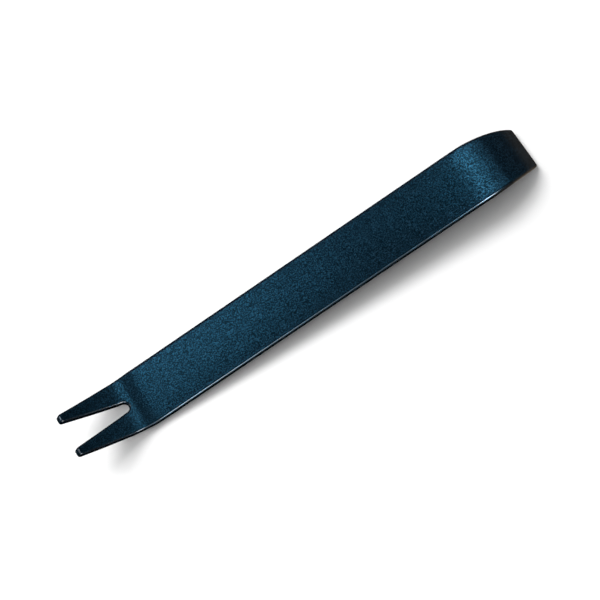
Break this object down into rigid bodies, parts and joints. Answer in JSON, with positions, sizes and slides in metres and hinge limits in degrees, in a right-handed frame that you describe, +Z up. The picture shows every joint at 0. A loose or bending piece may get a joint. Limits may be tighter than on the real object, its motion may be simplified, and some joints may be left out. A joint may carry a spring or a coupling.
{
  "type": "trim removal tool",
  "caption": "Flat one-piece plastic pry bar with an up-bent forked end for pulling trim clips and a down-curled plain end for lifting panels.",
  "frame": {"origin": "on the ground under the middle of the box that the bar fills as it lies at rest", "axes": "+X along the bar from the fork to the curled pry end, +Y to the left of that, +Z up"},
  "size_m": [0.1748, 0.02, 0.0155],
  "materials": {
    "body": "satin, fine moulded grain, very dark blue"
  },
  "bodies": {
    "root": {"pry_bar": "body"}
  },
  "joints": []
}
